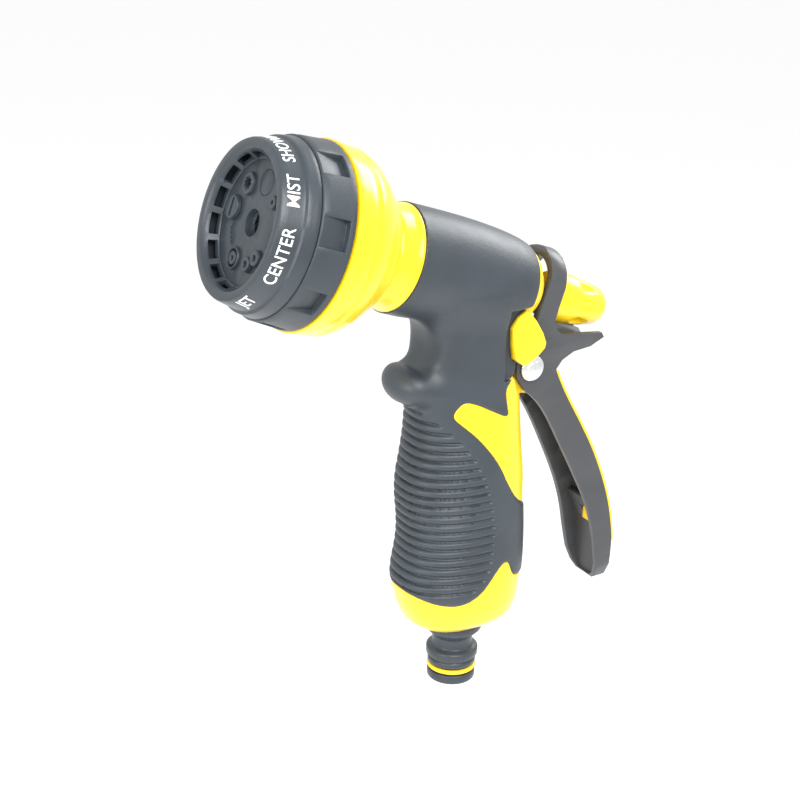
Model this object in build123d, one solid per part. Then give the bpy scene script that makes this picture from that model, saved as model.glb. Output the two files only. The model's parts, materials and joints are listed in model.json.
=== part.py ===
"""Pistol-grip hose spray nozzle with a turning pattern dial and a rear trigger.

Millimetres.  +Z runs up the handle, +X towards the spray, +Y to the user's left.
The origin is the centre of the end face of the hose spigot.
"""
from build123d import *
from math import cos, radians, sin
import os

# --- driving dimensions -------------------------------------------------------
AXIS_HEIGHT = 137.4          # spray axis above the origin, at x = 0
AXIS_TILT = 18.39            # spray axis above the horizontal, degrees

SPIGOT_BORE = 4.5
SPIGOT_NOSE = 7.9
SPIGOT_COLLAR = 8.5
SPIGOT_TAIL = 8.0            # end that sits in the handle
HANDLE_BOTTOM = 21.6
HANDLE_BORE = 5.0
HANDLE_HALF_DEPTH = 20.0
HANDLE_HALF_WIDTH = 15.2
HANDLE_SHIFT = -0.8
HANDLE_FOOT = 7.0            # height of the rounded foot
HANDLE_TOP = 133.0

BARREL_BORE = 8.6
CORE_RADIUS = 12.4
CORE_FRONT = 39.0            # station of the core's front face along the spray axis
COVER_FRONT = 28.3
COVER_REAR = -20.5

STEM_RADIUS = 2.5
RUNNING = 0.06               # radial clearance of a running fit
SEAT_FACE = 12.0
GLAND_RIM = 9.5

FLANGE_FACE = 59.0           # front of the yellow flange
HUB_RADIUS = 18.0            # fixed tube that the dial turns on
HUB_END = 70.5
CHAMBER_RADIUS = 15.0
DIAL_REAR = 59.7
DIAL_JOINT = 70.0            # grip ring ends, bezel begins
DISC_FACE = 76.0
RIM_FACE = 80.7
PATTERN_RADIUS = 12.0        # pitch radius of the outlets on the disc
WINDOW_COUNT = 15
POCKET_COUNT = 8

PIVOT = (-19.9, 107.2)       # trigger rivet, x and z
PIVOT_RADIUS = 2.5
EAR_HALF = 5.0               # half width of the body's ear between the cheeks
EAR_RADIUS = 5.6
CHEEK_INNER = 5.4
CHEEK_WALL = 2.1
BOSS_SWEEP = 8.4             # room in the body for the turning cheeks

LOCK = (-12.8, 118.0)        # lock shaft, x and z
LOCK_SHAFT = 2.0
WING_INNER = 10.4
WING_OUTER = 13.3
LOCK_POCKET = 10.0           # body half width beside the lock wings

LOOP_HALF = 9.6              # trigger loop over the stem
LOOP_INNER = 7.0
LOOP_TOP = 14.5
KNOB_FRONT = -30.2
KNOB_END = -52.4

os.makedirs("parts", exist_ok=True)

TILT = radians(AXIS_TILT)
# local +Z is the spray axis, local +X is square to it and upwards
SPRAY = Plane(origin=(0, 0, AXIS_HEIGHT), x_dir=(-sin(TILT), 0, cos(TILT)), z_dir=(cos(TILT), 0, sin(TILT)))


# --- helpers ------------------------------------------------------------------
def turned(points, start=0.0, sweep=360.0):
    """Solid of revolution about local Z from (radius, station) points."""
    face = make_face(Plane.XZ * Polyline(*points, close=True))
    return Rot(0, 0, start) * revolve(face, Axis.Z, revolution_arc=sweep)


def ring(inner, outer, low, high):
    """Plain ring about local Z."""
    return turned([(inner, low), (outer, low), (outer, high), (inner, high)])


def rod(radius, low, high):
    """Plain round bar about local Z."""
    return Pos(0, 0, low) * Cylinder(radius, high - low, align=(Align.CENTER, Align.CENTER, Align.MIN))


def torus(radius, thickness, station):
    """O-ring about local Z, by its mean radius and its section radius."""
    return Pos(0, 0, station) * Torus(radius, thickness)


def on_disc(angle, radius=PATTERN_RADIUS):
    """Place on the dial: angle from the user's left, turning upwards."""
    turn = radians(angle)
    return Pos(radius * sin(turn), -radius * cos(turn), 0)


def across(outline, low, high):
    """Slab from an x-z outline, between two y values."""
    face = make_face(Plane.XZ * outline)
    return Pos(0, high, 0) * extrude(face, high - low, dir=(0, -1, 0))


def both_sides(outline, inner, outer):
    """The same slab on the left and on the right."""
    return across(outline, inner, outer) + across(outline, -outer, -inner)


def pin(centre, radius, low, high):
    """Round bar along Y through an x-z point."""
    bar = Cylinder(radius, high - low)
    return Pos(centre[0], (low + high) / 2, centre[1]) * Rot(90, 0, 0) * bar


def solid_handle(inset):
    """Handle shape, drawn in by an inset all round."""
    oval = Ellipse(HANDLE_HALF_DEPTH - inset, HANDLE_HALF_WIDTH - inset)
    foot = Ellipse(HANDLE_HALF_DEPTH - inset - 6, HANDLE_HALF_WIDTH - inset - 5)
    low = HANDLE_BOTTOM + inset
    tube = extrude(Pos(HANDLE_SHIFT, 0, low + HANDLE_FOOT) * oval, HANDLE_TOP - low - HANDLE_FOOT)
    return tube + loft([Pos(HANDLE_SHIFT, 0, low) * foot, Pos(HANDLE_SHIFT, 0, low + HANDLE_FOOT) * oval])


def save(name, shape):
    """Write one node."""
    shape.label = name
    export_step(shape, f"parts/{name}.step")


# --- inlet --------------------------------------------------------------------
def inlet_spigot():
    outline = [
        (SPIGOT_BORE, 0.0), (SPIGOT_NOSE - 0.5, 0.0), (SPIGOT_NOSE, 0.5), (SPIGOT_NOSE, 3.2),
        (6.6, 3.2), (6.6, 5.8), (SPIGOT_NOSE, 5.8), (SPIGOT_NOSE, 7.4), (7.3, 8.0),
        (SPIGOT_COLLAR, 8.7), (SPIGOT_COLLAR, 11.2), (6.6, 12.2), (6.6, 15.6), (9.4, 18.6),
        (9.4, HANDLE_BOTTOM), (SPIGOT_TAIL, HANDLE_BOTTOM), (SPIGOT_TAIL, 30.0), (SPIGOT_BORE, 30.0),
    ]
    return turned(outline)


def inlet_strainer():
    """Domed mesh cup that catches grit in the spigot."""
    cup = turned([(0, 24.6), (3.4, 22.4), (4.4, 22.4), (4.4, 23.2), (3.6, 23.2), (0, 25.4)])
    hole = Cylinder(0.45, 8)
    places = [Pos(2.1 * cos(radians(60 * k)), 2.1 * sin(radians(60 * k)), 24) for k in range(6)]
    return cup - [place * hole for place in places] - Pos(0, 0, 25) * hole


# --- body ---------------------------------------------------------------------
def cover_region():
    """Side view of the soft cover: barrel, front of the handle and its sides."""
    return Polyline(
        (60, 175), (-60, 175), (-60, 128), (-8, 109), (-5, 98.5), (9, 104.4), (14, 101.5), (4.7, 92.1),
        (-1, 85.4), (-9.1, 71.6), (-14, 64), (-40, 57), (-40, 39), (-13.4, 39), (-9.4, 45.7), (-2.7, 40.2),
        (6.2, 34.2), (14, 35), (24, 39), (60, 39), close=True)


def finger_hook(inset):
    """Small horn under the finger scoop."""
    outline = Polyline(
        (12, 97), (21.0 - inset, 98.5), (26.4 - inset, 103.5), (27.4 - inset, 107.5),
        (26.0 - inset, 111 - inset),
        (21.0 - inset, 113 - inset), (18.4 - inset, 117.0), (16.6 - inset, 122.0), (12, 124), close=True)
    return across(outline, -8.5 + inset, 8.5 - inset)


def barrel(radius_change, front, rear):
    """Barrel shape about the spray axis."""
    shift = radius_change
    points = [
        (0, rear), (10.3 + shift, rear), (12.2 + shift, rear + 1.5), (13.9 + shift, rear + 4.5),
        (15.1 + shift, rear + 9.5), (16.0 + shift, rear + 19), (16.5 + shift, rear + 31),
        (16.4 + shift, front), (0, front),
    ]
    return SPRAY * turned(points)


def body_blank(inset):
    """Outer shape of handle, barrel and hook together."""
    return solid_handle(inset) + barrel(-inset, COVER_FRONT, COVER_REAR + inset / 2) + finger_hook(inset)


def trigger_room():
    """Space beside the ear for the cheeks, and beside that for the lock wings."""
    cheek = both_sides(Polyline((-60, 90), (-21, 90), (-17.4, 95.6), (-13.6, 104), (-13.6, 112),
                                (-17.2, 121.3),
                                (-60, 121.3), close=True), EAR_HALF, 30)
    sweep = pin(PIVOT, BOSS_SWEEP, EAR_HALF, 30) + pin(PIVOT, BOSS_SWEEP, -30, -EAR_HALF)
    lock = both_sides(Polyline((-60, 106), (-7.2, 106), (-7.2, 127), (-10, 131), (-60, 131), close=True),
                      LOCK_POCKET, 30)
    behind = SPRAY * rod(30, COVER_REAR - 20, COVER_REAR)
    return cheek + sweep + lock + (behind & (Pos(0, 0, 157) * Box(120, 120, 75)))


COVER_THICKNESS = 2.2
COVER_PRISM = across(cover_region(), -40, 40)
OUTER = body_blank(0) - trigger_room()
INNER = (body_blank(COVER_THICKNESS) - trigger_room())
PANEL = OUTER - COVER_PRISM


def trigger_ear():
    """Ear on the back of the body that carries the rivet."""
    ear = pin(PIVOT, EAR_RADIUS, -EAR_HALF, EAR_HALF)
    web = Polyline((PIVOT[0], PIVOT[1] - EAR_RADIUS), (-10, 98), (-10, 118),
                   (PIVOT[0], PIVOT[1] + EAR_RADIUS),
                   close=True)
    return ear + across(web, -EAR_HALF, EAR_HALF)


def body_core():
    """Moulded water body: handle tube, valve barrel and the ear for the trigger."""
    nose = SPRAY * rod(CORE_RADIUS, 20, CORE_FRONT)
    shell = PANEL + INNER + trigger_ear() + nose
    tube = Pos(0, 0, HANDLE_BOTTOM) * Cylinder(HANDLE_BORE, AXIS_HEIGHT - HANDLE_BOTTOM,
                                               align=(Align.CENTER, Align.CENTER, Align.MIN))
    socket = rod(SPIGOT_TAIL, HANDLE_BOTTOM - 5, 30.0)
    bore = SPRAY * rod(BARREL_BORE, COVER_REAR - 5, CORE_FRONT + 5)
    gland_rim = SPRAY * rod(GLAND_RIM, COVER_REAR, COVER_REAR + COVER_THICKNESS / 2)
    return shell - tube - socket - bore - gland_rim - pin(PIVOT, PIVOT_RADIUS, -20, 20) \
        - pin(LOCK, LOCK_SHAFT + RUNNING, -30, 30)


def grip_cover():
    """Soft ribbed cover on the barrel and the front of the handle."""
    gland_room = SPRAY * rod(GLAND_RIM + 0.1, COVER_REAR - 5, COVER_REAR + 5)
    shell = (OUTER & COVER_PRISM) - INNER - gland_room
    nose = SPRAY * rod(CORE_RADIUS, 0, CORE_FRONT)
    cover = shell - nose - trigger_ear() - pin(LOCK, LOCK_SHAFT + 1, -30, 30)
    # the thin islands left beside the ear belong to no piece
    return max(cover.solids(), key=lambda solid: solid.volume)


def funnel_cover():
    outline = [
        (CORE_RADIUS, 36.2), (15.4, 36.2), (16.5, 37.5), (17.2, 38.5), (20.0, 40.0), (21.1, 42.0),
        (23.6, 44.0), (26.1, 47.5), (27.4, 51.0), (27.1, 52.4), (27.5, 53.0), (27.9, FLANGE_FACE),
        (HUB_RADIUS, FLANGE_FACE), (HUB_RADIUS, 68.9), (17.0, 68.9), (17.0, 70.1), (HUB_RADIUS, 70.1),
        (HUB_RADIUS, HUB_END), (CHAMBER_RADIUS, HUB_END), (CHAMBER_RADIUS, 50.0), (9.0, 44.0),
        (9.0, 40.4), (CORE_RADIUS, 40.4),
    ]
    ball_hole = on_disc(90, 21.5) * rod(1.25, 54.0, 62.0)
    return SPRAY * (turned(outline) - ball_hole)


def neck_collar():
    outline = [(CORE_RADIUS, COVER_FRONT + 0.05), (16.4, COVER_FRONT + 0.05), (16.2, 29.2), (15.7, 30.0),
               (15.35, 35.4), (15.0, 36.15), (CORE_RADIUS, 36.15)]
    return SPRAY * turned(outline)


def spring_coil(mean_radius, wire, low, high, turns):
    """Round-wire compression spring about local Z."""
    pitch = (high - low - 2 * wire) / turns
    path = Pos(0, 0, low + wire) * Helix(pitch, high - low - 2 * wire, mean_radius)
    start = path @ 0
    profile = Plane(origin=start, z_dir=path % 0) * Circle(wire)
    return sweep(profile, path=path, is_frenet=True)


# --- valve --------------------------------------------------------------------
def valve_plug():
    """Soft cone that closes on the seat."""
    return SPRAY * turned([(STEM_RADIUS, 5.6), (6.4, 5.6), (6.4, 9.0), (5.4, 11.7), (STEM_RADIUS, 11.7)])


def gland_nut():
    """Rear closure of the barrel, with the bearing for the stem."""
    outline = [
        (STEM_RADIUS + RUNNING, -13.0), (BARREL_BORE, -13.0), (BARREL_BORE, COVER_REAR + 1.1),
        (GLAND_RIM, COVER_REAR + 1.1),
        (GLAND_RIM, -21.0), (9.2, -21.9), (8.4, -22.5), (6.2, -22.7), (STEM_RADIUS + RUNNING, -22.7),
    ]
    pocket = ring(STEM_RADIUS, 4.6, -16.4, -13.0)
    return SPRAY * (turned(outline) - pocket)


def flow_knob():
    profile = [(STEM_RADIUS, KNOB_FRONT), (7.4, KNOB_FRONT), (8.0, -32.0), (8.0, -37.0), (7.4, -43.0),
               (6.8, -46.5),
               (6.2, -49.5), (5.2, -51.4), (3.4, KNOB_END + 0.3), (0, KNOB_END), (0, -48.0),
               (STEM_RADIUS, -48.0)]
    flute = Pos(9.0, 0, -44.0) * Rot(0, -9, 0) * (
        Cylinder(2.4, 6.0) + Pos(0, 0, 3.0) * Sphere(2.4) + Pos(0, 0, -3.0) * Sphere(2.4))
    return SPRAY * (turned(profile) - [Rot(0, 0, 45 * k) * flute for k in range(8)])


# --- trigger ------------------------------------------------------------------
LEVER_REAR = [(-29.1, 106.0), (-35.0, 94.3), (-42.0, 82.8), (-47.9, 71.2), (-52.9, 56.9), (-55.4, 44.2),
              (-56.0, 34.0), (-55.6, 25.5)]
LEVER_FRONT = [(-52.6, 25.5), (-50.4, 34.0), (-48.6, 43.0), (-44.9, 55.5), (-38.4, 69.4), (-30.8, 83.8),
               (-22.3, 96.1), (-18.5, 99.3)]
LEVER_WIDTHS = [(24.6, 1.0), (25.4, 4.5), (27.5, 7.2), (32.0, 9.2), (42.0, 9.8), (56.0, 9.2), (68.0, 8.2),
                (82.0, 7.4), (96.0, 7.5), (111.2, 7.6), (116.0, 8.8), (121.0, 9.4), (126.0, LOOP_HALF)]
PAD_THICKNESS = 1.5


def width_slab(change, low, high):
    """Front view of the trigger between two heights, drawn in by a change at each side."""
    rows = [(z, w - change) for z, w in LEVER_WIDTHS if w > change + 0.5]
    points = [(w, z) for z, w in rows] + [(-w, z) for z, w in reversed(rows)]
    face = make_face(Plane.YZ * Polyline(*points, close=True))
    slab = Pos(-90, 0, 0) * extrude(face, 100, dir=(1, 0, 0))
    return slab & (Pos(-40, 0, (low + high) / 2) * Box(120, 60, high - low))


def arm_outline(rear_shift, extend_front):
    """Side view of the long arm of the trigger."""
    rear = [(x + rear_shift, z) for x, z in LEVER_REAR]
    front = [(x + extend_front, z) for x, z in LEVER_FRONT]
    return Spline(*rear) + Line(rear[-1], front[0]) + Spline(*front) + Line(front[-1], rear[0])


def loop_arch():
    """Arch of the trigger over the stem, in front of the flow knob."""
    side = Polyline((13.2, -22.2), (14.5, -23.0), (14.5, -27.0), (12.8, -27.9), (8.7, -28.9),
                    (4.0, -29.6), (-1.5, -29.5),
                    (-8.5, -29.9), (-11.5, -30.5), (-11.5, -21.4), (-8.0, -22.9), (3.0, -23.0),
                    (7.4, -23.1),
                    (11.3, -22.7), close=True)
    side_solid = Pos(0, 15, 0) * extrude(make_face(Plane.XZ * side), 30, dir=(0, -1, 0))
    outer = rod(LOOP_HALF, -60, 0) & (Pos(30, 0, -30) * Box(60, 60, 80))
    outer = Pos(LOOP_TOP - LOOP_HALF, 0, 0) * outer + Pos(-8, 0, -30) * Box(25.8, 2 * LOOP_HALF, 60)
    inner = Pos(LOOP_TOP - 2.9 - LOOP_INNER - 0.4, 0, 0) * rod(LOOP_INNER + 0.4, -70, 10) \
        + Pos(-10, 0, -30) * Box(29.4, 2 * LOOP_INNER, 80)
    return SPRAY * (side_solid & (outer - inner))


def trigger_lever():
    """Channel-shaped trigger with a loop over the stem and a thumb ledge behind."""
    arm = across(arm_outline(0, 0), -12, 12) & width_slab(0, 20, 110)
    cheeks = Polyline((-18.5, 99.3), (-14.5, 104.6), (-14.1, 108.5), (-14.8, 112.0), (-18.0, 119.5),
                      (-20.0, 124.0),
                      (-26.2, 124.0), (-27.0, 119.6), (-29.6, 117.2), (-33.5, 116.6), (-45.6, 115.4),
                      (-46.9, 113.6),
                      (-42.4, 111.0), (-35.9, 110.2), (-31.6, 108.0), (-29.1, 104.7), (-31.0, 101.0),
                      close=True)
    upper = across(cheeks, -12, 12) & width_slab(0, 82, 130)
    hollow = across(arm_outline(2.2, 14.0), -12, 12) & width_slab(CHEEK_WALL, 26, 101)
    ear_room = across(Polyline((-10, 96), (-10, 130), (-27.4, 130), (-27.4, 112), (-26.8, 104), (-29.5, 98),
                               (-28, 90), close=True), -CHEEK_INNER, CHEEK_INNER)
    knob_room = SPRAY * rod(9.4, -70, -15)
    open_back = SPRAY * (Pos(0, 0, -30) * Box(17, 2 * LOOP_INNER, 60))
    rib = across(Polyline((-44, 72), (-50.2, 63.4), (-49.0, 62.4), (-42.6, 71), close=True), -7.4, 7.4)
    rib_two = across(Polyline((-50.4, 55), (-54.6, 46), (-53.2, 45.4), (-49.2, 54.2), close=True), -8.0,
                     8.0)
    blank = arm + upper - hollow - ear_room
    blank = blank - knob_room - open_back + (rib & width_slab(1.0, 26, 101)) + (rib_two & width_slab(1.0,
                                                                                                     26,
                                                                                                     101))
    lever = blank + (loop_arch() - (SPRAY * rod(LOOP_INNER, -70, 0)))
    tab_holes = [across(Pos(x, z) * Rectangle(8, 5.2).wire(), -2.6, 2.6) for x, z in PAD_TABS]
    return lever - pin(PIVOT, PIVOT_RADIUS + RUNNING, -20, 20) - tab_holes


PAD_TABS = [(-49.9, 63.0), (-54.2, 47.6)]
PAD_LOW = 40.0
PAD_HIGH = 104.0


def trigger_pad():
    """Soft pad on the back of the trigger, ribbed at its lower end."""
    outer = [(x - PAD_THICKNESS, z) for x, z in LEVER_REAR]
    strip = across(Spline(*LEVER_REAR) + Line(LEVER_REAR[-1], outer[-1]) + Spline(*reversed(outer))
                   + Line(outer[0], LEVER_REAR[0]), -12, 12)
    strip = strip & width_slab(1.1, 20, 120)
    strip = strip & (Pos(-40, 0, (PAD_LOW + PAD_HIGH) / 2) * Box(60, 40, PAD_HIGH - PAD_LOW))
    notches = [pin((-57.9 + (z - 45) ** 2 * 0.0065, z), 0.9, -12,
                   12) for z in (44, 47.2, 50.4, 53.6, 56.8, 60)]
    tabs = [across(Pos(x - 0.3, z) * Rectangle(4.4, 5.0).wire(), -2.5, 2.5) for x, z in PAD_TABS]
    return strip - notches + tabs


def pivot_rivet():
    """Steel rivet with a domed head on each cheek."""
    shaft = pin(PIVOT, PIVOT_RADIUS, -7.7, 7.7)
    head = turned([(0, 7.7), (4.3, 7.7), (4.2, 8.3), (3.5, 8.8), (2.6, 8.9), (2.3, 9.4), (0, 9.6)])
    left = Pos(PIVOT[0], 0, PIVOT[1]) * Rot(-90, 0, 0) * head
    return shaft + left + mirror(left, Plane.XZ)


# --- lock ---------------------------------------------------------------------
WING = [(-14.0, 127.6), (-15.8, 126.3), (-17.8, 123.7), (-19.9, 120.0), (-20.9, 116.9), (-20.4, 115.4),
        (-17.2, 112.6), (-14.1, 110.9), (-12.5, 110.8), (-9.9, 112.8), (-9.1, 117.2), (-8.8, 122.3),
        (-9.7, 123.9),
        (-11.2, 125.9)]


def lock_wing(side):
    """Thumb wing of the trigger lock, faceted on its outer face."""
    plate = across(Polyline(*WING, close=True), WING_INNER, WING_OUTER)
    facet = Pos(-15, WING_OUTER + 4.3, 112) * Rot(8, 0, 0) * Box(60, 8, 40)
    wing = plate - facet - pin(LOCK, LOCK_SHAFT, 0, 12.2)
    return wing if side > 0 else mirror(wing, Plane.XZ)


# --- dial ---------------------------------------------------------------------
def dial_carrier():
    outline = [
        (HUB_RADIUS + 0.3, DIAL_REAR), (24.4, DIAL_REAR), (24.4, 69.8), (22.0, 69.8), (22.0, 73.0),
        (19.6, 73.0), (19.6, 68.6), (HUB_RADIUS + 0.3, 68.6),
    ]
    dimple = on_disc(0, 21.5) * Pos(0, 0, DIAL_REAR - 0.9) * Sphere(1.4)
    return SPRAY * (turned(outline) - [Rot(0, 0, 45 * k) * dimple for k in range(8)])


def grip_ring():
    outline = [(24.45, DIAL_REAR), (27.5, DIAL_REAR), (27.3, 61.0), (26.9, 65.5), (26.6, 69.2),
               (26.2, 69.8),
               (24.45, 69.8)]
    wedge = [(25.3, 61.3), (29.0, 61.3), (29.0, 71.0), (26.7, 71.0)]
    centres = [57 + 360 / POCKET_COUNT * k for k in range(POCKET_COUNT)]
    pockets = [turned(wedge, start=angle - 90 - 9, sweep=18) for angle in centres]
    return SPRAY * (turned(outline) - pockets)


def dial_bezel():
    outline = [
        (22.05, DIAL_JOINT), (25.9, DIAL_JOINT), (25.2, 73.8), (24.4, 74.2), (24.2, 75.0), (23.1, 80.0),
        (22.7, RIM_FACE), (20.4, RIM_FACE), (19.8, 80.1), (17.6, 76.05), (19.3, 76.05), (21.0, 79.0),
        (22.05, 79.0),
    ]
    window = turned([(16, 76.5), (21.9, 76.5), (21.9, 78.9), (16, 78.9)], start=0, sweep=18.5)
    pitch = 360 / WINDOW_COUNT
    return SPRAY * (turned(outline) - [Rot(0, 0, pitch * k) * window for k in range(WINDOW_COUNT)])


BOSSES = [(172, 3.6, 1.4), (127, 3.35, 1.0), (40, 2.0, 1.0), (-43, 2.4, 1.2), (-65, 2.25, 1.4),
          (-110, 3.35, 0.8)]
FINE_HOLES = [(-20 + 2.6 * k, 12.6) for k in range(8)] + [(-160 + 7 * k, 11.6) for k in range(4)]


def pattern_disc():
    disc = ring(3.9, 19.4, 73.05, DISC_FACE)
    sockets = [on_disc(angle) * rod(radius - 0.5, 72, 80) for angle, radius, _ in BOSSES]
    fine = [on_disc(angle, radius) * rod(0.35, 72, 80) for angle, radius in FINE_HOLES]
    flush = on_disc(82) * ring(3.55, 3.75, DISC_FACE - 0.4, DISC_FACE + 1)
    return SPRAY * (disc - sockets - fine - flush)


def outlet(angle, radius, height):
    """Outlet insert: a shouldered bush in the disc."""
    return turned([(0, 73.1), (radius - 0.5, 73.1), (radius - 0.5, DISC_FACE), (radius, DISC_FACE),
                   (radius - 0.2, DISC_FACE + height), (0, DISC_FACE + height)])


def fan_outlet():
    angle, radius, height = BOSSES[0]
    slit = Pos(0, 0, 76) * Box(5.2, 1.2, 12)
    return SPRAY * (on_disc(angle) * (outlet(angle, radius, height) - slit))


def star_outlet():
    angle, radius, height = BOSSES[1]
    lobes = [Rot(0, 0, 45 * k) * (Pos(1.5, 0, 76) * Cylinder(0.55, 12)) for k in range(8)]
    return SPRAY * (on_disc(angle) * (outlet(angle, radius, height) - lobes - rod(1.3, 70, 82)))


def mist_outlet():
    angle, radius, height = BOSSES[2]
    return SPRAY * (on_disc(angle) * (outlet(angle, radius, height) - rod(0.6, 70, 82)))


def flat_outlet():
    angle, radius, height = BOSSES[3]
    return SPRAY * (on_disc(angle) * (outlet(angle, radius, height) - rod(0.9, 70, 82)))


def jet_outlet():
    angle, radius, height = BOSSES[4]
    return SPRAY * (on_disc(angle) * (outlet(angle, radius, height) - rod(1.0, 70, 82)))


def cone_outlet():
    angle, radius, height = BOSSES[5]
    cup = ring(1.9, 2.7, 74.5, 80)
    return SPRAY * (on_disc(angle) * (outlet(angle, radius, height) - cup - rod(0.7, 70, 82)))


def centre_screen():
    """Pierced metal disc behind the centre outlet."""
    hole = Cylinder(0.35, 6)
    rows = [(0, 1), (1.2, 6), (2.4, 12)]
    holes = [Rot(0, 0, 360 / count * k) * (Pos(radius, 0, 72) * hole) for radius,
             count in rows for k in range(count)]
    return SPRAY * (rod(4.8, 71.9, 72.4) - holes)


def selector_plate():
    """Rear plate of the dial that leads water to one outlet at a time."""
    plate = rod(19.55, 71.0, 73.0) - rod(4.85, 71.85, 75) - rod(3.6, 70, 75)
    ports = [on_disc(angle) * rod(1.1, 70, 75) for angle, _, _ in BOSSES]
    return SPRAY * (plate - ports)


def port_plate():
    plate = rod(CHAMBER_RADIUS, 64.0, 67.0)
    return SPRAY * (plate - on_disc(82) * rod(2.6, 60, 70) - rod(1.2, 60, 70))


def port_seal():
    """Soft ring that seals the fixed port against the dial."""
    return SPRAY * (on_disc(82) * ring(1.6, 2.55, 64.5, 70.7))


def retaining_ring():
    gap = Pos(0, -18, 69.5) * Box(4, 6, 4)
    return SPRAY * (ring(17.0, 19.2, 68.95, 70.05) - gap)


# --- nodes --------------------------------------------------------------------
NODES = {
    "inlet_spigot": inlet_spigot(),
    "spigot_o_ring": torus(7.35, 0.75, 4.5),
    "spigot_gasket": ring(SPIGOT_BORE, SPIGOT_TAIL, 30.0, 31.0),
    "inlet_strainer": inlet_strainer(),
    "body_core": body_core() - ring(SPIGOT_BORE, SPIGOT_TAIL, 29.9, 31.0),
    "grip_cover": grip_cover(),
    "neck_collar": neck_collar(),
    "neck_seal": SPRAY * ring(9.6, 11.8, CORE_FRONT, 40.4),
    "funnel_cover": funnel_cover(),
    "gland_nut": gland_nut(),
    "stem_seal": SPRAY * ring(STEM_RADIUS + RUNNING, 4.6, -16.4, -14.0),
    "spring_washer": SPRAY * ring(STEM_RADIUS + 0.3, 7.8, -13.0, -12.2),
    "return_spring": SPRAY * spring_coil(5.2, 0.55, -12.2, 4.6, 6),
    "valve_seat": SPRAY * turned([(4.2, SEAT_FACE), (BARREL_BORE, SEAT_FACE), (BARREL_BORE, 16),
                                  (5.0, 16)]),
    "valve_stem": SPRAY * (rod(STEM_RADIUS, -48.0, 12.6) + rod(3.6, 11.75, 13.4)),
    "valve_plug": valve_plug(),
    "spring_cup": SPRAY * ring(STEM_RADIUS, 6.4, 4.6, 5.55),
    "flow_knob": flow_knob(),
    "trigger_lever": trigger_lever(),
    "trigger_pad": trigger_pad(),
    "pivot_rivet": pivot_rivet(),
    "lock_shaft": pin(LOCK, LOCK_SHAFT, -12.1, 12.1),
    "lock_wing_left": lock_wing(1),
    "lock_wing_right": lock_wing(-1),
    "port_plate": port_plate(),
    "port_seal": port_seal(),
    "retaining_ring": retaining_ring(),
    "detent_ball": SPRAY * (on_disc(90, 21.5) * Pos(0, 0, 58.2) * Sphere(1.2)),
    "detent_spring": SPRAY * (on_disc(90, 21.5) * spring_coil(0.8, 0.18, 54.0, 57.0, 4)),
    "dial_carrier": dial_carrier(),
    "grip_ring": grip_ring(),
    "dial_bezel": dial_bezel(),
    "selector_plate": selector_plate(),
    "centre_screen": centre_screen(),
    "pattern_disc": pattern_disc(),
    "fan_outlet": fan_outlet(),
    "star_outlet": star_outlet(),
    "mist_outlet": mist_outlet(),
    "flat_outlet": flat_outlet(),
    "jet_outlet": jet_outlet(),
    "cone_outlet": cone_outlet(),
}

for node_name, node_shape in NODES.items():
    save(node_name, node_shape)
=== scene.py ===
"""Hose spray nozzle: finish, moulded skins, lettering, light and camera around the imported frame.

Lengths in the shape code are millimetres and turn into metres when a mesh is made.
"""
import json
import math

import bmesh
import bpy
import numpy as np
from mathutils import Matrix, Vector

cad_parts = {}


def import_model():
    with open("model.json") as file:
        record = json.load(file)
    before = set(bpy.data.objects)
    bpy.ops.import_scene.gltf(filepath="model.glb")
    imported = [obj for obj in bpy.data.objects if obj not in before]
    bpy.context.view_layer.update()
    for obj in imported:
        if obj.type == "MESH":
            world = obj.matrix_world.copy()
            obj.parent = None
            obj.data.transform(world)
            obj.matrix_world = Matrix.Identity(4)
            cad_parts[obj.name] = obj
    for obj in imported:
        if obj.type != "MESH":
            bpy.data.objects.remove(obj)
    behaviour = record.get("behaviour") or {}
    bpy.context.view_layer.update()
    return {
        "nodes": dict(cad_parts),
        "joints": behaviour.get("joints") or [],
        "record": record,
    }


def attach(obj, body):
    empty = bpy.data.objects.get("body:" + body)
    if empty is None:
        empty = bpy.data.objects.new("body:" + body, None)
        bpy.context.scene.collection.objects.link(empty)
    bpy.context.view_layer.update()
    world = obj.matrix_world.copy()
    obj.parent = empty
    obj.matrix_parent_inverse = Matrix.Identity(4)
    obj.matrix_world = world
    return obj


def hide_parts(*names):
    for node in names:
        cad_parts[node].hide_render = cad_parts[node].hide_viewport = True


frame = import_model()
NODES = frame["nodes"]
MM = 0.001

# --- the spray axis, from the dial's joint --------------------------------------
dial_joint = next(j for j in frame["joints"] if j["name"] == "dial_turn")
ORIGIN = np.array(dial_joint["pos_m"]) / MM
ALONG = np.array(dial_joint["axis"])
ALONG = ALONG / np.linalg.norm(ALONG)
ACROSS = np.array([0.0, 1.0, 0.0])
UPWARD = np.array([-ALONG[2], 0.0, ALONG[0]])
trigger_joint = next(j for j in frame["joints"] if j["name"] == "trigger_squeeze")
PIVOT_X, _, PIVOT_Z = np.array(trigger_joint["pos_m"]) / MM


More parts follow.
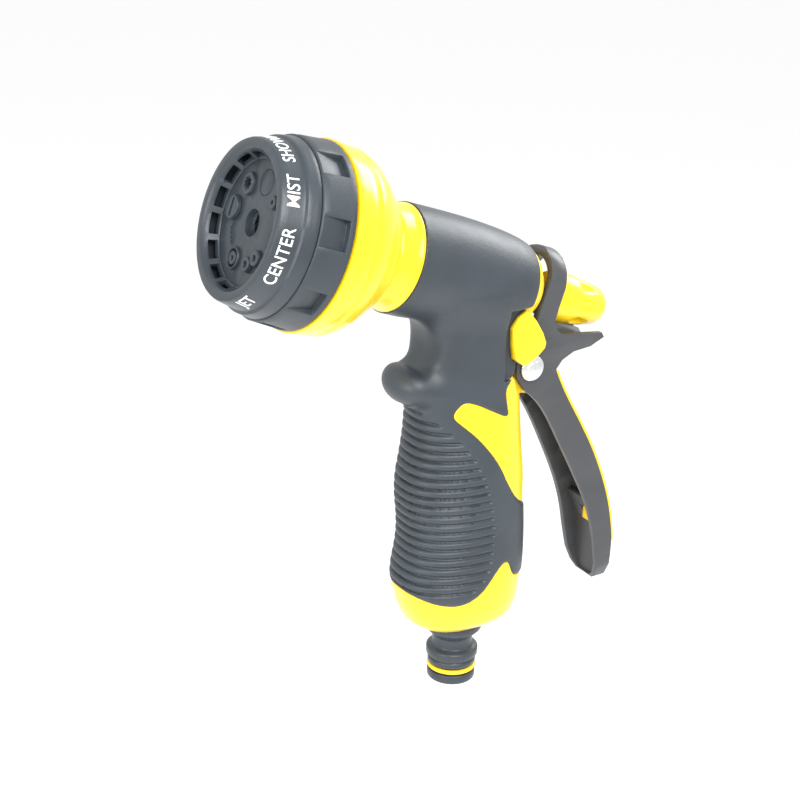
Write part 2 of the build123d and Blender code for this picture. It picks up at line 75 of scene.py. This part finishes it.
# --- materials ------------------------------------------------------------------
def moulded(name, colour, rough, sheen_spread=0.05, grain=900.0, grain_depth=0.06, tone=0.12, coat=0.0,
            mottle=55.0):
    """Moulded plastic or rubber: uneven tone, uneven gloss and a fine moulded grain."""
    material = bpy.data.materials.new(name)
    material.use_nodes = True
    tree = material.node_tree
    nodes, links = tree.nodes, tree.links
    shader = nodes["Principled BSDF"]
    shader.inputs["IOR"].default_value = 1.48
    shader.inputs["Coat Weight"].default_value = coat
    shader.inputs["Coat Roughness"].default_value = 0.12
    where = nodes.new("ShaderNodeTexCoord")

    def noise(scale, detail):
        node = nodes.new("ShaderNodeTexNoise")
        node.inputs["Scale"].default_value = scale
        node.inputs["Detail"].default_value = detail
        links.new(where.outputs["Object"], node.inputs["Vector"])
        return node

    cloud = noise(mottle, 4.0)
    ramp = nodes.new("ShaderNodeValToRGB")
    dark = [c * (1.0 - tone) for c in colour]
    light = [min(1.0, c * (1.0 + tone)) for c in colour]
    ramp.color_ramp.elements[0].position = 0.3
    ramp.color_ramp.elements[1].position = 0.7
    ramp.color_ramp.elements[0].color = (*dark, 1.0)
    ramp.color_ramp.elements[1].color = (*light, 1.0)
    links.new(cloud.outputs["Fac"], ramp.inputs["Fac"])
    links.new(ramp.outputs["Color"], shader.inputs["Base Color"])

    wipe = noise(mottle * 3.1, 6.0)
    spread = nodes.new("ShaderNodeMapRange")
    spread.inputs["To Min"].default_value = rough - sheen_spread
    spread.inputs["To Max"].default_value = rough + sheen_spread
    links.new(wipe.outputs["Fac"], spread.inputs["Value"])
    links.new(spread.outputs["Result"], shader.inputs["Roughness"])

    fine = noise(grain, 3.0)
    bump = nodes.new("ShaderNodeBump")
    bump.inputs["Strength"].default_value = grain_depth
    bump.inputs["Distance"].default_value = 0.0004
    links.new(fine.outputs["Fac"], bump.inputs["Height"])
    links.new(bump.outputs["Normal"], shader.inputs["Normal"])
    return material


def metal(name, colour, rough, scratch=1400.0):
    """Turned or rolled metal with fine scratches."""
    material = moulded(name, colour, rough, 0.08, scratch, 0.08, 0.06, 0.0, 160.0)
    material.node_tree.nodes["Principled BSDF"].inputs["Metallic"].default_value = 1.0
    return material


DARK = (0.030, 0.039, 0.048)
LEVER = (0.050, 0.053, 0.058)
YELLOW = (0.95, 0.62, 0.008)
MATERIALS = {
    "dark_plastic": moulded("dial plastic", DARK, 0.36, 0.06, 1100.0, 0.10),
    "dark_tpr": moulded("soft rubber", DARK, 0.44, 0.07, 1300.0, 0.16, 0.16),
    "lever_plastic": moulded("lever plastic", LEVER, 0.40, 0.06, 1000.0, 0.12, 0.10),
    "yellow_plastic": moulded("yellow plastic", YELLOW, 0.27, 0.05, 700.0, 0.03, 0.04, 0.25),
    "yellow_rubber": moulded("yellow rubber", (0.93, 0.60, 0.01), 0.42, 0.05, 900.0, 0.10, 0.05),
    "black_rubber": moulded("black rubber", (0.012, 0.012, 0.013), 0.5, 0.05, 900.0, 0.1),
    "steel": metal("bright steel", (0.80, 0.81, 0.82), 0.22),
    "brass": metal("brass", (0.78, 0.56, 0.22), 0.3),
    "print": moulded("white print", (0.82, 0.83, 0.82), 0.5, 0.04, 1500.0, 0.05, 0.05),
}
slot_of = {row["node"]: row["material_slot"] for row in frame["record"]["subparts"]}
for node_name, node in NODES.items():
    key = "lever_plastic" if node_name == "trigger_lever" else slot_of[node_name]
    node.data.materials.clear()
    node.data.materials.append(MATERIALS[key])


# --- softened edges on the CAD pieces --------------------------------------------
EDGE_WIDTHS = {
    "trigger_lever": 0.7, "trigger_pad": 0.45, "lock_wing_left": 0.6, "lock_wing_right": 0.6,
    "grip_ring": 0.4, "dial_bezel": 0.3, "flow_knob": 0.5, "funnel_cover": 0.3, "neck_collar": 0.3,
    "inlet_spigot": 0.25, "gland_nut": 0.2, "pattern_disc": 0.15, "pivot_rivet": 0.2,
    "fan_outlet": 0.15, "cone_outlet": 0.12, "jet_outlet": 0.12, "star_outlet": 0.1,
    "mist_outlet": 0.12, "flat_outlet": 0.12,
}
SMOOTH_ANGLE = math.radians(32)


def soften(node, width):
    """Rounds the sharp edges of a piece and shades the rest smooth."""
    for face in node.data.polygons:
        face.use_smooth = True
    weld = node.modifiers.new("join corners", "WELD")
    weld.merge_threshold = 0.00001
    bevel = node.modifiers.new("edge", "BEVEL")
    bevel.width = width * MM
    bevel.segments = 2
    bevel.limit_method = "ANGLE"
    bevel.angle_limit = SMOOTH_ANGLE
    bevel.harden_normals = True
    bevel.use_clamp_overlap = True


for node_name, width in EDGE_WIDTHS.items():
    soften(NODES[node_name], width)


# --- shape of the handle, as a field that is negative inside ----------------------
def smooth_table(rows):
    """Cubic curve through (position, value) rows, as a function."""
    rows = sorted(rows)
    at = np.array([r[0] for r in rows], float)
    value = np.array([r[1] for r in rows], float)
    slope = np.gradient(value, at)

    def read(x):
        x = np.clip(x, at[0], at[-1])
        i = np.clip(np.searchsorted(at, x) - 1, 0, len(at) - 2)
        step = at[i + 1] - at[i]
        t = (x - at[i]) / step
        return ((2 * t**3 - 3 * t**2 + 1) * value[i] + (t**3 - 2 * t**2 + t) * step * slope[i]
                + (3 * t**2 - 2 * t**3) * value[i + 1] + (t**3 - t**2) * step * slope[i + 1])
    return read


def join(a, b, k):
    """Smooth union."""
    h = np.clip(0.5 + 0.5 * (b - a) / k, 0, 1)
    return b + (a - b) * h - k * h * (1 - h)


def cut(a, b, k):
    """Smooth difference: a with b taken away."""
    return -join(-a, b, k)


def ramp_up(x, low, high):
    t = np.clip((x - low) / (high - low), 0, 1)
    return t * t * (3 - 2 * t)


def spray_place(x, z):
    """Distance along the spray axis, and above it in the middle plane."""
    dx, dz = x - ORIGIN[0], z - ORIGIN[2]
    return dx * ALONG[0] + dz * ALONG[2], dx * UPWARD[0] + dz * UPWARD[2]


BARREL = smooth_table([(28.3, 16.35), (20, 16.45), (8.5, 16.4), (1, 16.1), (-6.5, 15.5), (-11, 14.9),
                       (-14, 14.3), (-17, 13.3), (-19, 12.1), (-20.4, 10.4)])
FRONT = smooth_table([(21.8, 13.5), (24, 16.6), (28, 19.0), (33, 20.6), (38, 21.6), (43, 21.4),
                      (48, 20.6), (54, 20.0), (60, 20.2), (67, 21.0), (73, 21.0), (80, 19.9),
                      (88, 18.9), (96, 18.6), (104, 18.4), (112, 17.6), (130, 17.6)])
REAR = smooth_table([(21.8, -15.5), (24, -18.6), (28, -20.6), (33, -21.4), (38, -21.8), (46, -22.1),
                     (54, -21.9), (62, -21.3), (72, -20.9), (82, -19.6), (92, -18.5), (104, -17.2),
                     (112, -15.4), (130, -13.5)])
HALF = smooth_table([(21.8, 10.5), (24, 13.2), (28, 14.9), (34, 15.7), (42, 15.9), (52, 15.3),
                     (64, 15.2), (76, 15.1), (88, 14.4), (98, 13.9), (110, 13.5), (130, 13.5)])
FOOT = 21.8
HANDLE_TOP = 132
SQUARENESS = 2.35
BARREL_FRONT = 28.3
BARREL_REAR = -20.5
BORE_RADIUS = 9.6
FINGER_Z = 118.5
FINGER_RADIUS = 9.6
EAR_HALF = 5.0
EAR_GAP = 5.05
EAR_RADIUS = 5.5
BOSS_SWEEP = 8.4
LOCK_GAP = 9.9


def base_field(x, y, z):
    """Handle, barrel, finger hook and scoops, with room for the trigger."""
    s, n = spray_place(x, z)
    radial = np.hypot(n, y)
    barrel = np.maximum(radial - BARREL(s), np.maximum(s - BARREL_FRONT, BARREL_REAR - s))
    front, rear, half = FRONT(z), REAR(z), HALF(z)
    depth = (front - rear) / 2
    u = np.abs((x - (front + rear) / 2) / depth)
    v = np.abs(y / half)
    handle = ((u**SQUARENESS + v**SQUARENESS) ** (1 / SQUARENESS) - 1) * np.minimum(depth, half) * 0.95
    handle = np.maximum(handle, np.maximum(FOOT - z, z - HANDLE_TOP))
    hook = np.sqrt((x - 18.5) ** 2 * 0.55 + (y * 0.62) ** 2 + (z - 105.8) ** 2) - 6.2
    horn = np.sqrt((x - 21.6) ** 2 + (y * 0.55) ** 2 + (z - 107.4) ** 2) - 4.0
    shape = join(handle, join(hook, horn, 3.0), 4.0)
    shape = join(shape, barrel, 4.5)
    notch = np.hypot(x - 25.2, (z - FINGER_Z) * 1.05) - FINGER_RADIUS
    notch = np.maximum(notch, 112.0 - z + 0.30 * (x - 18) - 1.2)
    shape = cut(shape, notch, 2.5)
    side = np.abs(y)
    from_pivot = np.hypot(x - PIVOT_X, z - PIVOT_Z)
    scoop = np.sqrt(((x - 23) / 1.45) ** 2 + ((side - 17.0) / 0.82) ** 2 + (z - 115.0) ** 2) - 8.8
    shape = cut(shape, scoop, 2.2)
    beside_cheek = np.maximum(np.maximum(EAR_GAP - side, np.maximum(95 - z, z - 127.5)),
                              x + 13.4 + 0.30 * np.maximum(z - 112, 0) + 0.40 * np.maximum(107 - z, 0))
    sweep = np.maximum(EAR_GAP - side, from_pivot - BOSS_SWEEP)
    beside_lock = np.maximum(np.maximum(LOCK_GAP - side, np.maximum(106.0 - z, z - 129.5)), x + 6.0)
    for room in (beside_cheek, sweep, beside_lock):
        shape = cut(shape, room, 0.6)
    ear = np.maximum(side - EAR_HALF, from_pivot - EAR_RADIUS)
    web = np.maximum(np.maximum(99.5 - z + (x + 12) * 0.2, z - 116), x + 10)
    web = np.maximum(side - EAR_HALF, web)
    web = np.maximum(web, -(x + 20.5))
    shape = join(shape, np.maximum(join(ear, web, 1.0), from_pivot - 14), 0.8)
    bore = np.maximum(radial - BORE_RADIUS, s + 17.5)
    return cut(shape, bore, 0.5)


def polygon_distance(points, x, z):
    """Signed distance to a closed outline in side view, negative inside."""
    corners = np.array(points, float)
    nearest = np.full(x.shape, 1e9)
    inside = np.zeros(x.shape, bool)
    for (x0, z0), (x1, z1) in zip(corners, np.roll(corners, -1, axis=0)):
        ex, ez = x1 - x0, z1 - z0
        t = np.clip(((x - x0) * ex + (z - z0) * ez) / (ex * ex + ez * ez), 0, 1)
        nearest = np.minimum(nearest, np.hypot(x - x0 - t * ex, z - z0 - t * ez))
        crosses = (z0 > z) != (z1 > z)
        if z1 != z0:
            inside ^= crosses & (x < x0 + (z - z0) * ex / (z1 - z0))
    return np.where(inside, -nearest, nearest)


def rounded_outline(points, passes=3):
    """Outline with its corners cut round."""
    for _ in range(passes):
        following = points[1:] + points[:1]
        points = [p for a, b in zip(points, following) for p in (
            (0.75 * a[0] + 0.25 * b[0], 0.75 * a[1] + 0.25 * b[1]),
            (0.25 * a[0] + 0.75 * b[0], 0.25 * a[1] + 0.75 * b[1]))]
    return points


# yellow areas in side view: the panel at the back of the handle, and the foot
PANEL = rounded_outline([(-60, 59), (-22, 60), (-13.5, 65.5), (-8.6, 72.5), (-5.6, 78.5),
                         (-0.9, 85.2), (4.0, 90.6), (8.6, 94.6), (11.4, 97.2), (10.6, 99.6),
                         (8.2, 102.2), (4.4, 101.3), (-2.5, 97.6), (-8.6, 94.4), (-7.6, 98.5),
                         (-6.6, 104.7), (-13.5, 107.5), (-60, 108)], 2)
FOOT_AREA = rounded_outline([(-60, -20), (60, -20), (60, 39.5), (30, 39.4), (24, 38.6), (19.5, 36.8),
                             (13.2, 34.4), (6.2, 34.0), (0.6, 36.6), (-2.6, 40.0), (-4.9, 42.9),
                             (-8.0, 45.8), (-10.4, 45.6), (-11.6, 42.8), (-13.6, 39.2), (-20, 38.0),
                             (-60, 38)], 2)
RIB_END = smooth_table([(99.9, 20.6), (96.3, 15.8), (93.1, 12.0), (90.2, 8.8), (87.4, 6.4),
                        (84.5, 4.2), (81.5, 2.2), (78.7, 0.7), (75.8, -0.7), (73.1, -1.6),
                        (69.8, -2.9), (63.9, -4.1), (58.1, -4.9), (52.0, -4.9), (46.0, -3.9),
                        (42.8, -2.7), (39.8, -0.5), (37.5, 3.4)])
RIB_PITCH = 2.96
RIB_TOP = 97.7
COVER_PROUD = 0.30
# behind this station, and above COLLAR_LOW, the barrel is bare yellow core
COLLAR_EDGE = -16.8
COLLAR_LOW = -13.5


def yellow_side(x, z):
    """Negative where the yellow shows, in millimetres from the joint line."""
    s, n = spray_place(x, z)
    rear = np.maximum(s - COLLAR_EDGE, COLLAR_LOW - n)
    lower = np.minimum(polygon_distance(PANEL, x, z), polygon_distance(FOOT_AREA, x, z))
    return np.minimum(lower, rear)


def cover_field(x, y, z):
    """Outer face of the soft cover, with its ribs and the rolled edge at the joint line."""
    edge = yellow_side(x, z)
    proud = COVER_PROUD * ramp_up(edge, 0.0, 0.8)
    turns = (RIB_TOP - z) / RIB_PITCH
    dip = (0.5 + 0.5 * np.cos(2 * np.pi * turns)) ** 3.5
    reach = ramp_up(x - RIB_END(z), 0.0, 1.5) * ramp_up(z, 36.2, 38.0) * (1 - ramp_up(z, 100.6, 101.6))
    return base_field(x, y, z) - proud + 1.0 * dip * reach


def core_field(x, y, z):
    """Outer face of the yellow body, sunk where the cover lies on it."""
    edge = yellow_side(x, z)
    s, _ = spray_place(x, z)
    return base_field(x, y, z) + 1.3 * ramp_up(edge, -0.2, 0.5) + 0.8 * ramp_up(s, 27.0, 28.0)


# --- surface extraction -----------------------------------------------------------
def surface(field, low, high, step):
    """Closed quad mesh of a field's zero level: one point per crossed cell, then drawn onto the level."""
    axes = [np.arange(low[i], high[i] + step, step) for i in range(3)]
    gx, gy, gz = np.meshgrid(*axes, indexing="ij")
    f = field(gx, gy, gz)
    shape = np.array(f.shape) - 1
    total = np.zeros((*shape, 3))
    count = np.zeros(shape)
    corner = [(i, j, k) for i in (0, 1) for j in (0, 1) for k in (0, 1)]

    def part(i, j, k):
        return f[i:i + shape[0], j:j + shape[1], k:k + shape[2]]
    for a in corner:
        for axis in range(3):
            if a[axis]:
                continue
            b = list(a)
            b[axis] = 1
            fa, fb = part(*a), part(*b)
            crossed = (fa < 0) != (fb < 0)
            t = np.where(crossed, fa / np.where(crossed, fa - fb, 1), 0)
            for m in range(3):
                total[..., m] += crossed * (a[m] + (t if m == axis else 0))
            count += crossed
    used = count > 0
    index = np.full(shape, -1)
    index[used] = np.arange(used.sum())
    cells = np.argwhere(used)
    points = (cells + total[used] / count[used][:, None]) * step + np.array(low)
    quads = []
    for axis in range(3):
        u, v = (axis + 1) % 3, (axis + 2) % 3
        lo = [slice(1, -1)] * 3
        lo[axis] = slice(0, -1)
        hi = list(lo)
        hi[axis] = slice(1, None)
        fa, fb = f[tuple(lo)], f[tuple(hi)]
        crossed = np.argwhere((fa < 0) != (fb < 0))
        rising = (fa < 0)[tuple(crossed.T)]
        base = crossed + np.array([0 if m == axis else 1 for m in range(3)])
        ring_ids = []
        for du, dv in ((0, 0), (-1, 0), (-1, -1), (0, -1)):
            c = base.copy()
            c[:, u] += du
            c[:, v] += dv
            ring_ids.append(index[tuple(c.T)])
        quad = np.stack(ring_ids, 1)
        quad[~rising] = quad[~rising][:, ::-1]
        quads.append(quad)
    quads = np.concatenate(quads)
    quads = quads[(quads >= 0).all(1)]
    h = 0.02
    for _ in range(3):
        x, y, z = points.T
        value = field(x, y, z)
        slope = np.stack([field(x + h, y, z) - field(x - h, y, z), field(x, y + h, z) - field(x, y - h, z),
                          field(x, y, z + h) - field(x, y, z - h)], 1) / (2 * h)
        size = np.maximum((slope**2).sum(1), 0.15)
        move = -(value / size)[:, None] * slope
        points = points + np.clip(move, -0.35 * step, 0.35 * step)
    return points, quads


def keep_positive(points, quads, side):
    """Part of a mesh where side is positive, cut cleanly along its zero line."""
    out = [tuple(p) for p in points]
    made = {}

    def crossing(a, b):
        key = (min(a, b), max(a, b))
        if key not in made:
            t = side[a] / (side[a] - side[b])
            out.append(tuple(points[a] + t * (points[b] - points[a])))
            made[key] = len(out) - 1
        return made[key]
    faces = []
    above = side > 0
    full = above[quads].all(1)
    faces.extend(map(tuple, quads[full].tolist()))
    mixed = quads[above[quads].any(1) & ~full]
    for quad in mixed.tolist():
        loop = []
        for a, b in zip(quad, quad[1:] + quad[:1]):
            if above[a]:
                loop.append(a)
            if above[a] != above[b]:
                loop.append(crossing(a, b))
        if len(loop) > 2:
            faces.append(tuple(loop))
    return out, faces


def make_piece(name, points, faces, body, slot, material=None):
    """New piece from millimetre points, riding on a body."""
    mesh = bpy.data.meshes.new(name)
    mesh.from_pydata([tuple(MM * c for c in p) for p in points], [], faces)
    work = bmesh.new()
    work.from_mesh(mesh)
    bmesh.ops.delete(work, geom=[v for v in work.verts if not v.link_faces], context="VERTS")
    bmesh.ops.recalc_face_normals(work, faces=work.faces)
    work.to_mesh(mesh)
    work.free()
    for face in mesh.polygons:
        face.use_smooth = True
    mesh.materials.append(material or MATERIALS[slot])
    piece = bpy.data.objects.new(name, mesh)
    bpy.context.scene.collection.objects.link(piece)
    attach(piece, body)
    return piece


SKIN_STEP = 0.6
SKIN_LOW = (-28.0, -19.0, 20.5)
SKIN_HIGH = (36.0, 19.0, 165.0)
# the trigger's ear is bare core: behind EAR_FRONT, below EAR_TOP, inside EAR_SIDE
EAR_FRONT = -8.0
EAR_TOP = 119.0
EAR_SIDE = 5.3


def grip_skin():
    """Soft ribbed cover."""
    points, quads = surface(cover_field, SKIN_LOW, SKIN_HIGH, SKIN_STEP)
    x, y, z = points.T
    s, _ = spray_place(x, z)
    side = yellow_side(x, z)
    beside_ear = np.where(z > EAR_TOP, side, np.abs(y) - EAR_SIDE)
    side = np.where(x < EAR_FRONT, np.minimum(side, beside_ear), side)
    side = np.minimum(side, 28.25 - s)
    points, faces = keep_positive(points, quads, side)
    skin = make_piece("grip_skin", points, faces, "body", "dark_tpr")
    wall = skin.modifiers.new("wall", "SOLIDIFY")
    wall.thickness = 1.1 * MM
    wall.offset = -1.0
    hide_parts("grip_cover")


def core_skin():
    """Yellow body under and beside the cover."""
    points, quads = surface(core_field, SKIN_LOW, SKIN_HIGH, SKIN_STEP)
    skin = make_piece("core_skin", points, [tuple(q) for q in quads.tolist()], "body", "yellow_plastic")
    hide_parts("body_core")


grip_skin()
core_skin()


# --- lettering on the dial --------------------------------------------------------
BAND_STATION = 77.5
BAND_RADIUS = 23.66
BAND_SLOPE = (24.2 - 23.1) / 5.0
LETTER_HEIGHT = 3.6
LETTER_LIFT = 0.10
CAPITAL_SHARE = 0.73
LETTER_SQUEEZE = 0.93
WORDS = ["JET", "CENTER", "MIST", "SHOWER", "FLAT", "CONE", "SOAKER", "FULL"]
FIRST_ANGLE = -56.0


def band_word(word, angle):
    """One word of white print wrapped round the band, letter tops to the front."""
    curve = bpy.data.curves.new("word_" + word, "FONT")
    curve.body = word
    curve.align_x = "CENTER"
    curve.align_y = "CENTER"
    curve.size = LETTER_HEIGHT / CAPITAL_SHARE
    curve.offset = 0.035
    curve.resolution_u = 6
    holder = bpy.data.objects.new("holder", curve)
    bpy.context.scene.collection.objects.link(holder)
    flat = bpy.data.meshes.new_from_object(holder.evaluated_get(bpy.context.evaluated_depsgraph_get()))
    bpy.data.objects.remove(holder)
    work = bmesh.new()
    work.from_mesh(flat)
    bmesh.ops.remove_doubles(work, verts=work.verts, dist=0.001)
    bmesh.ops.triangulate(work, faces=work.faces)
    bmesh.ops.subdivide_edges(work, edges=[e for e in work.edges if e.calc_length() > 0.8], cuts=2)
    lowest = min(v.co.y for v in work.verts)
    highest = max(v.co.y for v in work.verts)
    middle = (lowest + highest) / 2
    for v in work.verts:
        turn = math.radians(angle) + v.co.x * LETTER_SQUEEZE / BAND_RADIUS
        station = BAND_STATION + (v.co.y - middle)
        radius = BAND_RADIUS - BAND_SLOPE * (station - BAND_STATION) + LETTER_LIFT
        out = math.cos(turn) * ACROSS + math.sin(turn) * UPWARD
        v.co = Vector(ORIGIN + ALONG * station + out * radius) * MM
    bmesh.ops.recalc_face_normals(work, faces=work.faces)
    mesh = bpy.data.meshes.new("print_" + word)
    work.to_mesh(mesh)
    work.free()
    mesh.materials.append(MATERIALS["print"])
    piece = bpy.data.objects.new("print_" + word, mesh)
    bpy.context.scene.collection.objects.link(piece)
    ink = piece.modifiers.new("ink", "SOLIDIFY")
    ink.thickness = 0.14 * MM
    ink.offset = 0.0
    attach(piece, "dial")


for number, word in enumerate(WORDS):
    band_word(word, FIRST_ANGLE + 45.0 * number)


# --- floor, light and camera ------------------------------------------------------
FLOOR_LEVEL = -0.45
FLOOR_REACH = 6.0


def floor():
    """Plain pale floor far below the part."""
    mesh = bpy.data.meshes.new("floor")
    reach = FLOOR_REACH
    mesh.from_pydata([(-reach, -reach, 0), (reach, -reach, 0), (reach, reach, 0), (-reach, reach, 0)], [],
                     [(0, 1, 2, 3)])
    plane = bpy.data.objects.new("floor", mesh)
    plane.location.z = FLOOR_LEVEL
    bpy.context.scene.collection.objects.link(plane)
    material = bpy.data.materials.new("floor")
    material.use_nodes = True
    shader = material.node_tree.nodes["Principled BSDF"]
    shader.inputs["Base Color"].default_value = (0.97, 0.97, 0.97, 1)
    shader.inputs["Roughness"].default_value = 0.9
    mesh.materials.append(material)


def softbox(name, place, size, power, aim=(0.0, 0.0, 0.10)):
    lamp = bpy.data.lights.new(name, "AREA")
    lamp.shape = "SQUARE"
    lamp.size = size
    lamp.energy = power
    holder = bpy.data.objects.new(name, lamp)
    holder.location = place
    holder.rotation_euler = (Vector(aim) - Vector(place)).to_track_quat("-Z", "Y").to_euler()
    bpy.context.scene.collection.objects.link(holder)


def world():
    sky = bpy.data.worlds.new("studio")
    sky.use_nodes = True
    back = sky.node_tree.nodes["Background"]
    back.inputs["Color"].default_value = (1.0, 1.0, 1.0, 1.0)
    back.inputs["Strength"].default_value = 1.0
    bpy.context.scene.world = sky


CAMERA_PLACE = (0.2538, 0.3821, 0.2712)
CAMERA_AZIMUTH = math.radians(148.86)
CAMERA_ELEVATION = math.radians(20.86)
CAMERA_ROLL = math.radians(1.82)
CAMERA_LENS = 71.0


def camera():
    back = Vector((math.sin(CAMERA_AZIMUTH) * math.cos(CAMERA_ELEVATION),
                   -math.cos(CAMERA_AZIMUTH) * math.cos(CAMERA_ELEVATION), math.sin(CAMERA_ELEVATION)))
    right = Vector((math.cos(CAMERA_AZIMUTH), math.sin(CAMERA_AZIMUTH), 0.0))
    up = back.cross(right)
    tilted_right = right * math.cos(CAMERA_ROLL) + up * math.sin(CAMERA_ROLL)
    tilted_up = up * math.cos(CAMERA_ROLL) - right * math.sin(CAMERA_ROLL)
    data = bpy.data.cameras.new("camera")
    data.lens = CAMERA_LENS
    data.sensor_width = 36.0
    data.clip_start = 0.01
    holder = bpy.data.objects.new("camera", data)
    turn = Matrix((tilted_right, tilted_up, back)).transposed()
    holder.matrix_world = Matrix.Translation(CAMERA_PLACE) @ turn.to_4x4()
    bpy.context.scene.collection.objects.link(holder)
    bpy.context.scene.camera = holder


bpy.context.scene.view_settings.view_transform = "Standard"
floor()
world()
softbox("key", (0.15, 0.75, 0.75), 0.6, 11.0)
softbox("front", (0.95, 0.35, 0.30), 0.6, 6.0)
softbox("rim", (-0.70, -0.15, 0.60), 0.5, 7.0)
camera()

bpy.context.view_layer.update()
